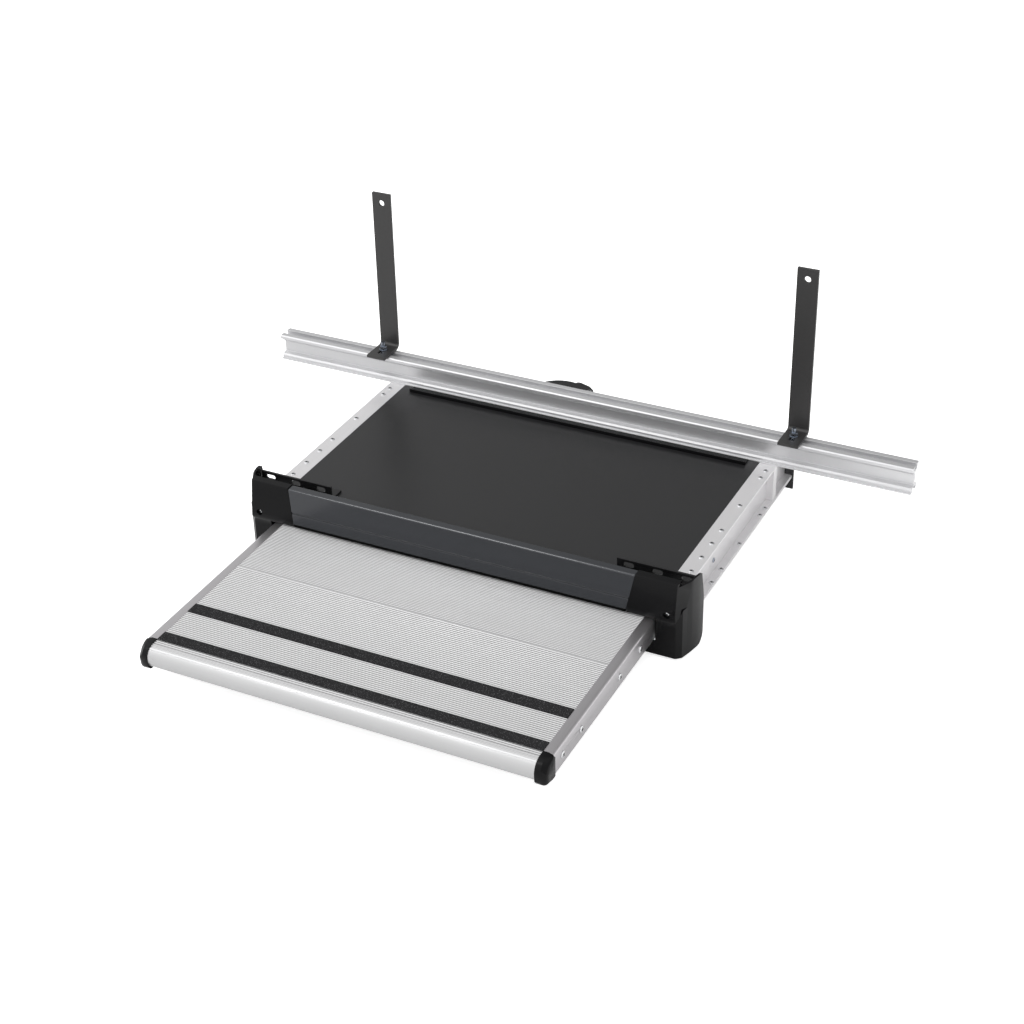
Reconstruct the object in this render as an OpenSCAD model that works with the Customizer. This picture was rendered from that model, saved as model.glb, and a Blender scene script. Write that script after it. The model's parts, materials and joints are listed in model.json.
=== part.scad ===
// Pull out entrance step for a caravan: a ribbed tread that slides out of a flat
// cassette, hung under the floor on two front brackets and on a rear beam with straps.
// Lengths are in millimetres. The step is drawn with x across, y from the fascia
// towards the rear and z up from the tread top, and shown with the tread pulled out.
// The origin is moved to the middle of the slot row in the front brackets.

/* [Tread] */
// Overall width of the tread over its side rails
tread_w = 550; // [480:1:620]
// Thickness of each side rail
rail_t = 13.5; // [11:0.5:17]
// Height of each side rail
rail_h = 30; // [28:0.5:32]
// Depth of one tread plank, front to back
plank_depth = 200; // [190:1:210]
// Thickness of the planks' top skin
plank_skin = 3; // [2.2:0.1:4]
// Height of the planks
plank_h = 26; // [22:0.5:28]
// Groove pitch of the front plank
front_pitch = 3.55; // [3.2:0.05:4.5]
// Groove pitch of the rear plank
rear_pitch = 3.15; // [2.9:0.05:4.5]
// Depth of the grooves
groove_d = 0.7; // [0.4:0.1:1]
// Reach of the tread nose ahead of the fascia
nose_reach = 314.5; // [305:0.5:325]
// Length of the nose ahead of the side rails
nose_len = 24; // [22:0.5:26]
// Width of the front grip tape
front_tape_w = 17.5; // [14:0.5:19]
// Width of the rear grip tape
rear_tape_w = 19.5; // [14:0.5:25]
// Free plank between the two grip tapes
tape_gap = 48; // [30:1:60]
// Thickness of the grip tapes
tape_t = 1; // [0.6:0.1:1.4]

/* [Cassette] */
// Gap between the tread's side and the flange strips
flange_gap = 1.2; // [1:0.1:1.4]
// Width of the flange strips
flange_w = 24; // [20:0.5:28]
// Thickness of the flange strips and the top panel
flange_t = 3; // [2:0.1:3.4]
// Height of the cassette over both flange strips
cassette_h = 57; // [54:0.5:60]
// Top of the cassette above the tread top
cassette_top = 28; // [26:0.5:30]
// Depth of the cassette behind the fascia
cassette_depth = 440; // [434:1:450]
// Thickness of the side webs
web_t = 3; // [2:0.1:4]
// Thickness of the rear plate
rear_plate_t = 3; // [2:0.1:4]
// Drop of the rear plate below the tread top
rear_plate_drop = 47; // [40:0.5:52]

/* [Rollers] */
// Radius of the rollers at the rear of the tread
rear_roller_r = 9; // [8:0.1:9.5]
// Width of the rear rollers
rear_roller_w = 6.5; // [5:0.1:7]
// Radius of the rollers under the tread rails
front_roller_r = 7; // [6:0.1:7.2]
// Width of the front rollers
front_roller_w = 11; // [8:0.5:12]
// Radius of all roller axles
axle_r = 3; // [2.5:0.1:3.5]
// Running clearance between an axle and its bore, radial
axle_gap = 0.06; // [0.03:0.01:0.1]

/* [Front] */
// Height of the fascia's top edge above the tread top
fascia_top = 58; // [54:0.5:62]
// Height of the fascia's lower edge above the tread top
fascia_low = 9.5; // [6:0.5:12]
// How far the fascia leans forward at its lower edge
fascia_lean = 7; // [2:0.5:9]
// Depth of the fascia's top land
fascia_land = 12; // [10:0.5:14]
// Wall of the fascia and of the end covers
cover_wall = 3; // [2:0.1:3.5]
// How much shorter the fascia is than the tread's width, along its top edge
fascia_short = 53; // [45:1:60]
// Taper of each fascia end, top to bottom
fascia_taper = 9; // [0:0.5:12]
// How far the end covers reach beyond the tread's side
cover_beyond = 44.5; // [42:0.5:50]
// Drop of the end covers below the tread top
cover_drop = 50; // [48:0.5:54]
// Depth of the end covers' side walls
cover_depth = 52; // [46:1:60]

/* [Sill brackets] */
// Length of each bracket
bracket_len = 108; // [104:1:112]
// Thickness of each bracket
bracket_t = 3; // [2:0.1:4]
// Height of the upright leg
bracket_h = 21.5; // [20:0.5:26]
// Distance of the upright leg behind the fascia's front
bracket_y = 40; // [32:1:42]
// Distance of the brackets' inner ends inside the tread's side
bracket_inset = 68; // [63:1:75]
// Spacing of the slots
slot_pitch = 39; // [34:0.5:41]
// Length of a slot
slot_len = 14; // [11:0.5:20]
// Width of a slot
slot_w = 6.4; // [5:0.1:8]

/* [Beam and straps] */
// Length of the rear beam
beam_len = 975; // [800:5:1200]
// Depth of the beam, front to back
beam_d = 28.5; // [26:0.5:31]
// Height of the beam
beam_h = 39.5; // [36:0.5:44]
// Distance of the beam's front behind the fascia's front
beam_y = 368; // [366:0.5:372]
// Width of the beam's slots
beam_slot = 9.6; // [8:0.1:10]
// Height of the straps above the beam
strap_h = 243; // [160:1:400]
// Width of the straps
strap_w = 29.5; // [25:0.5:34]
// Thickness of the straps
strap_t = 4; // [3:0.1:5]
// Distance between the straps' middles
strap_span = 635; // [420:1:800]
// Diameter of the straps' upper holes
strap_hole = 9; // [7:0.1:12]
// Distance of that hole below the strap's top
strap_hole_drop = 15; // [11:0.5:25]
// How far the strap's foot reaches ahead of the beam
foot_over = 10; // [4:0.5:12]

/* [Drive] */
// Radius of the round gearbox
gearbox_r = 45; // [42:0.5:48]
// Place of the gearbox left of the middle
gearbox_x = 59; // [50:1:66]
// Distance of the gearbox's middle from the cassette's rear end
gearbox_in = 6; // [4:0.5:7]
// Distance of the cross channel's middle behind the planks
crossbar_gap = 41.5; // [20:0.5:44]
// Width of the crank bar
crank_w = 14; // [12:1:15]
// Thickness of the crank bar
crank_t = 4; // [3:0.1:4.4]
// Radius of the crank roller
crank_roller_r = 9; // [7:0.1:9.2]
// Tooth size of the gears
gear_module = 1.4; // [1.2:0.05:1.45]
// Radius of the motor
motor_r = 20; // [16:0.5:21]
// Length of the motor below its plate
motor_len = 55; // [40:1:60]

/* [Hidden] */

$fn = 48;
e = 0.01;
// Gap between the fascia and an end cover, and radial play of fixed pins and screws
seat = 0.3;
play = 0.05;

// Origin: middle of the slot row, on the brackets' front faces
slot_z = cassette_top + bracket_h - 7;

// Tread
rail_in = tread_w/2 - rail_t;
rail_round = 3;
cap_round = 6.5;
cap_edge = 3.5;
cap_y = -nose_reach + nose_len;
nose_r = 15.5;
nose_y = -nose_reach + nose_r;
nose_rib_from = -9.5;
seam_y = -nose_reach + plank_depth + 5;
seam_gap = 0.15;
rear_plank_end = seam_y + plank_depth;
crossbar_y = rear_plank_end + crossbar_gap;
gearbox_y = cassette_depth - gearbox_in;
crank_len = gearbox_y - crossbar_y;
plank_rib = 2;
plank_floor = 2.5;
tape_y = cap_y - 0.5;
channel_t = 3;
channel_in = crank_roller_r + 0.3;
channel_out = channel_in + channel_t;
rail_end = crossbar_y + channel_out + 1.7;
screw_z = -16;
screw_r = 2.1;
port_r = 4.2;
front_screw_y = [cap_y + 22, cap_y + 73];
rear_screw_y = [seam_y + 3, seam_y + 65];
rail_screw_y = concat(front_screw_y, rear_screw_y);

// Cassette
flange_in = tread_w/2 + flange_gap;
flange_out = flange_in + flange_w;
cassette_low = cassette_top - cassette_h;
floor_z = cassette_low + flange_t;
roof_z = cassette_top - flange_t;
web_in = flange_out - 14;
web_out = web_in + web_t;
rib_out = web_out + 6;
rib_h = 6;
ledge_w = 16;
ledge_t = 3;
end_plate_t = 3;
cassette_y = fascia_land + 2;
screw_x = (web_in + rib_out)/2 + 0.6;
foot_t = 1.6;
low_screw_x = flange_out - 3.7;
low_screw_step = 10;
foot_screw_x = flange_in + 6;
clamp_half = flange_in - 16;
flange_screw_y = [79, 114, 149.5, 184, 251, 330, 350];

// Rollers
rear_roller_z = floor_z + rear_roller_r + 0.1;
rear_roller_y = crossbar_y + 5;
rear_roller_x = tread_w/2 + 2;
axle_bracket_x = tread_w/2 + 1.5;
axle_bracket_y = [cassette_y + 1, cassette_y + 19];
front_roller_z = -rail_h - front_roller_r - 0.1;
front_roller_y = cassette_y + 10;
front_roller_x = tread_w/2 - 1 - front_roller_w;
guide_t = 3;
guide_low = rear_roller_z + rear_roller_r + 0.4;
guide_z = guide_low + guide_t/2;
guide_y = [cassette_y + 41, cassette_y + 186];
guide_screw_y = [cassette_y + 61, cassette_y + 150];

// Front
bracket_in = tread_w/2 - bracket_inset;
slot_row_x = bracket_in + 16 + slot_pitch;
fascia_len = tread_w - fascia_short;
cover_reach = tread_w/2 + cover_beyond;
cover_in = fascia_len/2 - fascia_taper - 10;
cover_top = fascia_top + 1;
cover_low_y = -2;
cover_corner = 14;
cover_curve = 9;
cover_edge_x = cover_reach - 15;
corner_angle = [40, 62];
corner_step_z = 4;
corner_room = 200;
cover_gap = 2.5;
cover_screw_z = 14.5;
cover_screw_x = tread_w/2 + 18;
fascia_foot = 18;
wiper_drop = 5;
fascia_screw_x = [for (k = [-1:0.5:1]) k*(fascia_len/2 - 48.5)];
foot_screw_y = [bracket_y + 10, bracket_y + 19];
bracket_foot = 26;

// Rear beam
beam_z = cassette_top;
beam_mid = beam_y + beam_d/2;
beam_top = beam_z + beam_h;
beam_bolt_x = (flange_in + web_in)/2;
lip_t = 2.5;
bolt_head = 3.7;
slot_room = 12.6;
slot_deep = 4.5;
strap_y = beam_y + beam_d + 4;
strap_x = strap_span/2;
foot_y = beam_y - foot_over;
gusset_y = [beam_y - 6, beam_y + 6];

// Drive
crank_z = 7;
plate_z = crank_z + crank_t + 1;
plate_half = gearbox_r + 12;
ear_out = plate_half + 33;
notch_low = crank_z - 3;
ear_high = plate_z + 12;
plate_screw_z = plate_z + 7.5;
plate_screw_x = [for (k = [-1, 1], x = [ear_out - 22, ear_out - 8]) -gearbox_x + k*x];
gearbox_z = plate_z + flange_t;
gearbox_top = cassette_top - 0.6;
lid_t = 2.8;
pinion_teeth = 10;
gear_teeth = 40;
gear_gap = gear_module*(pinion_teeth + gear_teeth)/2 + 0.35;
pinion_angle = 55;
pinion_at = gear_gap*[cos(pinion_angle), sin(pinion_angle)];
motor_x = pinion_at[0] - gearbox_x;
motor_y = gearbox_y + pinion_at[1];
shaft_r = 6;
pinion_shaft_r = 3.6;
gear_z = gearbox_z + 2.5;
gear_top = gearbox_top - lid_t - 1;

// Moves the step so that its origin is the middle of the bracket slots
module placed() { translate([0, -bracket_y, -slot_z]) children(); }

// Draws a left or a right hand copy: side is -1 on the left and 1 on the right
module on_side(side) { if (side < 0) mirror([1, 0, 0]) children(); else children(); }

// Extrudes a y-z outline along x from x0 to x1
module along_x(x0, x1)
    translate([x0, 0, 0]) rotate([90, 0, 90]) linear_extrude(x1 - x0) children();

// Extrudes an x-z outline along y from y0 to y1
module along_y(y0, y1)
    translate([0, y1, 0]) rotate([90, 0, 0]) linear_extrude(y1 - y0) children();

module block(x, y, z) translate([x[0], y[0], z[0]]) cube([x[1] - x[0], y[1] - y[0], z[1] - z[0]]);

module rod_x(x0, x1, y, z, r) translate([x0, y, z]) rotate([0, 90, 0]) cylinder(h = x1 - x0, r = r);

module rod_y(y0, y1, x, z, r) translate([x, y1, z]) rotate([90, 0, 0]) cylinder(h = y1 - y0, r = r);

module rod_z(z0, z1, x, y, r) translate([x, y, z0]) cylinder(h = z1 - z0, r = r);

// Pan head screw along x: head from x0 outwards, shank inwards
module screw_x_out(x0, y, z, head_r, head_h, shank_r, shank_l) {
    rod_x(x0, x0 + head_h, y, z, head_r);
    rod_x(x0 - shank_l, x0 + e, y, z, shank_r);
}

// Saw of shallow grooves between y0 and y1, as the top edge of a plank outline
function groove_edge(y0, y1, pitch) = let (n = floor((y1 - y0 - 1)/pitch))
    [for (i = [0:n - 1], k = [0:3])
        [y0 + 0.5 + pitch*(i + [0.12, 0.3, 0.7, 0.88][k]), k == 0 || k == 3 ? 0 : -groove_d]];

// Tread

// Point on the rolled nose, s ahead of the flat top's end along the surface and d below it
function nose_at(s, d) = let (a = max(s, 0)/nose_r*180/PI)
    [nose_y - min(s, 0) - (nose_r - d)*sin(a), -nose_r + (nose_r - d)*cos(a)];

// Nose outline from front to back: smooth roll, one fine line, then grooves like the plank's
nose_edge = concat([for (a = [90:-7.5:45]) nose_at(nose_r*a*PI/180, 0)],
    [for (q = [[11.2, 0], [10.9, 0.5], [10.3, 0.5], [10, 0]]) nose_at(q[0], q[1])],
    [for (i = [4:-1:0], k = [3:-1:0]) nose_at(nose_rib_from + front_pitch*(i + [0.12, 0.3, 0.7, 0.88][k]),
        k == 0 || k == 3 ? 0 : groove_d)]);

// Five hollow chambers of a plank between y0 and y1, with screw ports left standing
module chambers(y0, y1, ports) {
    w = (y1 - y0)/5;
    difference() {
        for (i = [0:4]) translate([y0 + i*w, -plank_h + plank_floor])
            square([w - plank_rib, plank_h - plank_skin - plank_floor]);
        for (y = ports) {
            translate([y, screw_z]) circle(port_r);
            translate([y - plank_rib/2, -plank_h]) square([plank_rib, plank_h]);
        }
    }
    for (y = ports) translate([y, screw_z]) circle(screw_r + play);
}

module tread_plank_front() color("gainsboro") placed() along_x(-rail_in, rail_in) difference() {
    polygon(concat([[-nose_reach + 3, -plank_h], [-nose_reach + 0.4, -nose_r - 4]], nose_edge,
        groove_edge(nose_y - nose_rib_from, seam_y - seam_gap, front_pitch),
        [[seam_y - seam_gap, 0], [seam_y - seam_gap, -plank_h]]));
    polygon(concat([[-nose_reach + 6, -plank_h + plank_floor]],
        [for (a = [90:-15:0]) nose_at(nose_r*a*PI/180, plank_skin + 0.2)],
        [[cap_y - 0.5, -plank_skin - 0.2], [cap_y - 0.5, -plank_h + plank_floor]]));
    chambers(cap_y + 2, seam_y - 1, front_screw_y);
}

module tread_plank_rear() color("gainsboro") placed() along_x(-rail_in, rail_in) difference() {
    polygon(concat([[seam_y + seam_gap, -plank_h], [seam_y + seam_gap, 0]],
        groove_edge(seam_y + seam_gap, rear_plank_end - 0.5, rear_pitch),
        [[rear_plank_end, 0], [rear_plank_end, -plank_h]]));
    chambers(seam_y + 2.5, rear_plank_end, rear_screw_y);
}

module grip_tape(y, w)
    color([0.12, 0.12, 0.12]) placed() block([-rail_in, rail_in], [y, y + w], [0, tape_t]);

module grip_tape_front() grip_tape(tape_y, front_tape_w);

module grip_tape_rear() grip_tape(tape_y + front_tape_w + tape_gap, rear_tape_w);

module tread_rail(side) color("darkgray") placed() on_side(side) difference() {
    along_y(cap_y, rail_end) polygon(concat([[tread_w/2, -rail_h], [rail_in, -rail_h], [rail_in, 0]],
        [for (a = [0:22.5:90]) [tread_w/2 - rail_round*(1 - sin(a)), -rail_round*(1 - cos(a))]]));
    for (y = rail_screw_y) rod_x(rail_in - 1, tread_w/2 + 1, y, screw_z, screw_r + 0.3);
    rod_x(rail_in - 1, tread_w/2 + 1, rear_roller_y, rear_roller_z, axle_r + play);
}

module tread_rail_left() tread_rail(-1);

module tread_rail_right() tread_rail(1);

// Rounded cap over the end of the rail and the nose
module nose_cap(side) color([0.1, 0.1, 0.1]) placed() on_side(side) difference() {
    hull() {
        for (q = [[cap_y - cap_edge - e, -cap_edge, cap_edge], [nose_y - 3, -cap_round - 2, cap_round],
                [-nose_reach + cap_round, -nose_r - 1, cap_round],
                [-nose_reach + cap_round + 1, -rail_h + cap_round - 2.5, cap_round]])
            translate([tread_w/2 + 1.5 - q[2], q[0], q[1]]) sphere(r = q[2], $fn = 32);
        along_x(rail_in, tread_w/2 - 6) polygon(concat([[cap_y - e, -rail_h - 2]],
            [[cap_y - e, 0.8]], [for (a = [0:15:90]) nose_at(nose_r*a*PI/180, -0.8)],
            [[-nose_reach - 0.3, -plank_h], [-nose_reach + 3, -rail_h - 0.5],
                [-nose_reach + 6, -rail_h - 2]]));
        block([rail_in, tread_w/2 + 1.5], [cap_y - 7, cap_y - e], [-rail_h - 0.5, -cap_edge]);
    }
    block([rail_in - 30, rail_in], [-nose_reach - 10, cap_y + 10], [-rail_h - 10, 10]);
}

module nose_cap_left() nose_cap(-1);

module nose_cap_right() nose_cap(1);

module rail_screws() color("silver") placed() for (side = [-1, 1], y = rail_screw_y)
    on_side(side) screw_x_out(tread_w/2, y, screw_z, 4.8, 1.9, screw_r, rail_t + 14);

// Upward channel across the back of the tread, in which the crank's roller runs
module rear_crossbar() color("silver") placed() along_x(-rail_in, rail_in)
    translate([crossbar_y, -rail_h + 2]) difference() {
        translate([-channel_out, 0]) square([2*channel_out, rail_h - 3]);
        translate([-channel_in, channel_t]) square([2*channel_in, rail_h]);
    }

module rear_axles() color("silver") placed() for (side = [-1, 1]) on_side(side) {
    rod_x(rail_in, rear_roller_x + rear_roller_w + 0.2, rear_roller_y, rear_roller_z, axle_r);
    rod_x(tread_w/2, rear_roller_x - 0.2, rear_roller_y, rear_roller_z, axle_r + 2);
    rod_x(rear_roller_x + rear_roller_w + 0.1, rear_roller_x + rear_roller_w + 1.3,
        rear_roller_y, rear_roller_z, axle_r + 1.5);
}

module roller(x, w, y, z, r) translate([x, y, z]) rotate([0, 90, 0]) difference() {
    rotate_extrude() polygon([[0, 0], [r - 0.6, 0], [r, 0.6], [r, w - 0.6], [r - 0.6, w], [0, w]]);
    translate([0, 0, -1]) cylinder(h = w + 2, r = axle_r + axle_gap);
}

module rear_roller(side) color("white") placed() on_side(side)
    roller(rear_roller_x, rear_roller_w, rear_roller_y, rear_roller_z, rear_roller_r);

module rear_roller_left() rear_roller(-1);

module rear_roller_right() rear_roller(1);

// Cassette

module top_panel() color([0.25, 0.25, 0.26]) placed() difference() {
    block([-flange_in + 0.2, flange_in - 0.2], [fascia_land, beam_y - 1], [roof_z, cassette_top]);
    for (x = fascia_screw_x) rod_z(roof_z - 1, cassette_top + 1, x,
        fascia_land + fascia_foot/2, screw_r + play);
}

module rear_clamp_strip() color([0.1, 0.1, 0.1]) placed() along_x(-clamp_half, clamp_half) polygon([
    [beam_y - 15, cassette_top], [beam_y - 15, cassette_top + 5], [beam_y - 13, cassette_top + 5],
    [beam_y - 13, cassette_top + 2], [beam_y - 1.5, cassette_top + 2], [beam_y - 1.5, cassette_top]]);

// Web with two screw ribs outside, a ledge for the panel and the flange strips inside
module side_rail(side) color("gainsboro") placed() on_side(side) difference() {
    along_y(cassette_y, cassette_depth) polygon([[web_in, floor_z], [flange_out - 0.3, floor_z],
        [flange_out - 0.3, floor_z + foot_t], [web_out, floor_z + foot_t], [web_out, roof_z - rib_h],
        [rib_out, roof_z - rib_h], [rib_out, roof_z], [web_in - ledge_w, roof_z],
        [web_in - ledge_w, roof_z - ledge_t], [web_in, roof_z - ledge_t]]);
    for (y = flange_screw_y) {
        rod_z(roof_z - rib_h + 0.5, roof_z + 1, screw_x, y, 1.7);
        rod_z(floor_z - 1, floor_z + foot_t + 1, low_screw_x, y - low_screw_step, 1.7);
    }
    for (y = guide_screw_y) rod_x(web_in - 1, web_out + 1, y, guide_z, 1.7);
    for (y = foot_screw_y) rod_z(roof_z - ledge_t - 1, roof_z + 1, foot_screw_x, y, screw_r + play);
    rod_z(roof_z - ledge_t - 1, roof_z + 1, beam_bolt_x, beam_mid, 2.7);
}

module side_rail_left() side_rail(-1);

module side_rail_right() side_rail(1);

module flange(side, z) color("lightgray") placed() on_side(side) difference() {
    block([flange_in, flange_out], [cassette_y, cassette_depth], [z, z + flange_t]);
    if (z < 0) for (y = flange_screw_y)
        rod_z(z - 1, z + flange_t + 1, low_screw_x, y - low_screw_step, 1.7);
    if (z > 0) {
        for (y = flange_screw_y) rod_z(z - 1, z + flange_t + 1, screw_x, y, 1.9);
        for (y = foot_screw_y) rod_z(z - 1, z + flange_t + 1, foot_screw_x, y, screw_r + play);
        rod_z(z - 1, z + flange_t + 1, beam_bolt_x, beam_mid, 2.7);
    }
}

module top_flange_left() flange(-1, roof_z);

module top_flange_right() flange(1, roof_z);

module bottom_flange_left() flange(-1, cassette_low);

module bottom_flange_right() flange(1, cassette_low);

module flange_screws() color("silver") placed() for (side = [-1, 1], y = flange_screw_y)
    on_side(side) {
        rod_z(cassette_top, cassette_top + 1.6, screw_x, y, 3.4);
        rod_z(roof_z - rib_h + 1, cassette_top + e, screw_x, y, 1.6);
        rod_z(floor_z + foot_t, floor_z + foot_t + 1.6, low_screw_x, y - low_screw_step, 3.4);
        rod_z(cassette_low + 0.3, floor_z + foot_t + e, low_screw_x, y - low_screw_step, 1.6);
    }

// Strip over the rear roller that keeps the pulled out tread from tipping
module uplift_guide(side) color("silver") placed() on_side(side) difference() {
    block([rear_roller_x, web_in], guide_y, [guide_low, guide_low + guide_t]);
    for (y = guide_screw_y) rod_x(web_in - 6, web_in + 1, y, guide_z, 1.15 + play);
}

module uplift_guide_left() uplift_guide(-1);

module uplift_guide_right() uplift_guide(1);

module guide_screws() color("silver") placed() for (side = [-1, 1], y = guide_screw_y)
    on_side(side) screw_x_out(web_out, y, guide_z, 3.4, 1.6, 1.15, web_t + 5);

// Plate on the front end of the cassette side, to which the end cover is screwed
module end_plate(side) color([0.15, 0.15, 0.15]) placed() on_side(side) difference() {
    block([tread_w/2 + cover_gap, flange_out], [cassette_y - end_plate_t, cassette_y],
        [cassette_low, cassette_top]);
    rod_y(cassette_y - end_plate_t - 1, cassette_y + 1, cover_screw_x, cover_screw_z, 2.1);
}

module end_plate_left() end_plate(-1);

module end_plate_right() end_plate(1);

// Angle under the bottom flange with the axle of the front roller
module roller_bracket(side) color([0.2, 0.2, 0.2]) placed() on_side(side) {
    x = axle_bracket_x;
    block([x, flange_out - 4], axle_bracket_y, [cassette_low - 3, cassette_low]);
    block([x, x + 3], axle_bracket_y, [-cover_drop + 2, cassette_low - 3 + e]);
    rod_x(front_roller_x - 0.5, x + e, front_roller_y, front_roller_z, axle_r);
    rod_x(front_roller_x + front_roller_w + 0.2, x + e, front_roller_y, front_roller_z, axle_r + 2);
    rod_x(front_roller_x - 1.4, front_roller_x - 0.2, front_roller_y, front_roller_z, axle_r + 1.5);
}

module roller_bracket_left() roller_bracket(-1);

module roller_bracket_right() roller_bracket(1);

module front_roller(side) color("white") placed() on_side(side)
    roller(front_roller_x, front_roller_w, front_roller_y, front_roller_z, front_roller_r);

module front_roller_left() front_roller(-1);

module front_roller_right() front_roller(1);

// Front

// How far the front face stands ahead at a height
function lean(z) = -fascia_lean*(fascia_top - z)/(fascia_top - fascia_low);

module fascia() color([0.26, 0.27, 0.29]) placed() intersection() {
    along_x(-fascia_len/2, fascia_len/2) difference() {
        polygon([[lean(fascia_low), fascia_low], [lean(24), 24], [lean(24) + 1, 25],
            [lean(26.2), 26.2], [0, fascia_top - 1.5], [1.5, fascia_top], [fascia_land, fascia_top],
            [fascia_land, cassette_top + 3], [fascia_land + fascia_foot, cassette_top + 3],
            [fascia_land + fascia_foot, cassette_top], [fascia_land, cassette_top],
            [fascia_land, fascia_low + 3], [fascia_land - 3, fascia_low]]);
        polygon([[lean(fascia_low) + cover_wall, fascia_low + cover_wall],
            [cover_wall + 0.5, fascia_top - cover_wall],
            [fascia_land - cover_wall, fascia_top - cover_wall],
            [fascia_land - cover_wall, fascia_low + cover_wall]]);
    }
    difference() {
        along_y(-30, 60) polygon([[-fascia_len/2, fascia_top + 1], [fascia_len/2, fascia_top + 1],
            [fascia_len/2 - fascia_taper, fascia_low - 1],
            [-fascia_len/2 + fascia_taper, fascia_low - 1]]);
        for (x = fascia_screw_x) rod_z(cassette_top - 1, cassette_top + 5, x,
            fascia_land + fascia_foot/2, screw_r + play);
    }
}

// Screws through the fascia's foot into the top panel
module fascia_screws() color("silver") placed() for (x = fascia_screw_x) {
    rod_z(cassette_top + 3, cassette_top + 4.6, x, fascia_land + fascia_foot/2, 3.8);
    rod_z(roof_z - 1.5, cassette_top + 3 + e, x, fascia_land + fascia_foot/2, screw_r);
}

// Strip under the fascia that closes the gap above the tread
module wiper_strip() color([0.05, 0.05, 0.05]) placed()
    along_x(-fascia_len/2 + fascia_taper + 1, fascia_len/2 - fascia_taper - 1)
    polygon([[lean(fascia_low) + 1, fascia_low], [lean(fascia_low) + 1.5, fascia_low - wiper_drop],
        [lean(fascia_low) + 3.5, fascia_low - wiper_drop], [lean(fascia_low) + 6, fascia_low]]);

// Front line of an end cover: leaning with the fascia, then drawn back to an upright part
cover_front = [[lean(cover_top - 1.5), cover_top - 1.5], [lean(14), 14], [lean(14) + 0.2, 9.5],
    [lean(14) + 1, 6], [cover_low_y - 1.6, 2.5], [cover_low_y - 0.5, -1], [cover_low_y, -5]];

// Side outline of an end cover, in y and z, with a sloping top and a rounded lower rear corner
module cover_outline() polygon(concat([[cover_low_y, -cover_drop]],
    [for (i = [len(cover_front) - 1:-1:0]) cover_front[i]],
    [[1, cover_top], [fascia_land, cover_top], [cover_depth - 12, cover_top - 3],
        [cover_depth - 8, cover_top - 5], [cover_depth, 16]],
    [for (a = [0:15:90]) [cover_depth - cover_corner*(1 - cos(a)),
        -cover_drop + cover_corner*(1 - sin(a))]]));

// Side outline of the room inside it: open below, behind, and above behind the top land
module cover_room() polygon(concat([[cover_low_y + cover_wall, -2*cover_drop]],
    [for (i = [len(cover_front) - 1:-1:1]) cover_front[i] + [cover_wall, 0]],
    [[lean(cover_top - cover_wall) + cover_wall, cover_top - cover_wall],
        [fascia_land, cover_top - cover_wall], [fascia_land, 2*cover_top],
        [2*cover_depth, 2*cover_top], [2*cover_depth, -2*cover_drop]]));

// Plan of the curved side wall
function wall_x(y) = cover_reach - cover_curve*pow(max(0, cover_depth - 10 - y)/(cover_depth - 11.5), 1.42);

// Everything inside the curved side wall, or inside its inner face when inset
module inside_wall(inset) translate([0, 0, -2*cover_depth]) linear_extrude(4*cover_depth) polygon(concat(
    [for (y = [-24:6:cover_depth + 30]) [wall_x(y) - inset, y]],
    [[cover_in, cover_depth + 30], [cover_in, -24]]));

// Everything ahead of the facet between the front panel and the side wall, which leans with the
// front panel above and stands upright below a step that rises outwards
module before_facet(inset) {
    step_line = [[cover_edge_x - 30, corner_step_z], [cover_edge_x, corner_step_z],
        [cover_edge_x + 7, corner_step_z + 17], [cover_edge_x + 40, corner_step_z + 26]];
    for (upper = [0, 1]) intersection() {
        translate([cover_edge_x, upper*lean(fascia_top) + (1 - upper)*cover_low_y, upper*fascia_top])
            rotate([-upper*atan(fascia_lean/(fascia_top - fascia_low)), 0, 0])
            rotate([0, 0, corner_angle[upper]])
            translate([-corner_room, inset - 2*corner_room, -corner_room]) cube(2*corner_room);
        along_y(-corner_room, corner_room) polygon(concat(step_line,
            [for (x = [40, -30]) [cover_edge_x + x, (2*upper - 1)*corner_room]]));
    }
}

// Clears the wing of the side wall down to its own, lower top edge
module above_wing() along_x(cover_edge_x + 1, cover_reach + 9) polygon([[-40, cover_top - 4],
    [18, cover_top - 4.4], [26, cover_top - 2.4], [cover_depth + 5, cover_top - 2],
    [cover_depth + 5, cover_top + 20], [-40, cover_top + 20]]);

module end_cover(side) color([0.1, 0.1, 0.1]) placed() on_side(side) difference() {
    union() {
        intersection() {
            difference() {
                intersection() {
                    along_x(cover_in + 1, cover_reach + 5) cover_outline();
                    inside_wall(0);
                }
                before_facet(0);
                above_wing();
                difference() {
                    intersection() {
                        along_x(cover_in - 1, cover_reach + 6) cover_room();
                        inside_wall(cover_wall);
                    }
                    before_facet(cover_wall);
                }
            }
            along_y(-40, 90) polygon([
                [fascia_len/2 + seat, cover_top + 5], [fascia_len/2 + seat, fascia_top],
                [fascia_len/2 - fascia_taper + seat, fascia_low],
                [fascia_len/2 - fascia_taper + seat, 4], [tread_w/2 + cover_gap, 4],
                [tread_w/2 + cover_gap, -rail_h - 1], [rail_in - 1, -rail_h - 1],
                [rail_in - 1, -cover_drop - 5], [cover_reach + 5, -cover_drop - 5],
                [cover_reach + 5, cover_top + 5]]);
        }
        rod_y(lean(cover_screw_z) + 1, cassette_y - end_plate_t, cover_screw_x, cover_screw_z, 6.4);
    }
    rod_y(-40, cassette_y, cover_screw_x, cover_screw_z, 2.2);
    rod_y(-40, lean(cover_screw_z) + 5.5, cover_screw_x, cover_screw_z, 4.4);
}

module end_cover_left() end_cover(-1);

module end_cover_right() end_cover(1);

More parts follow.
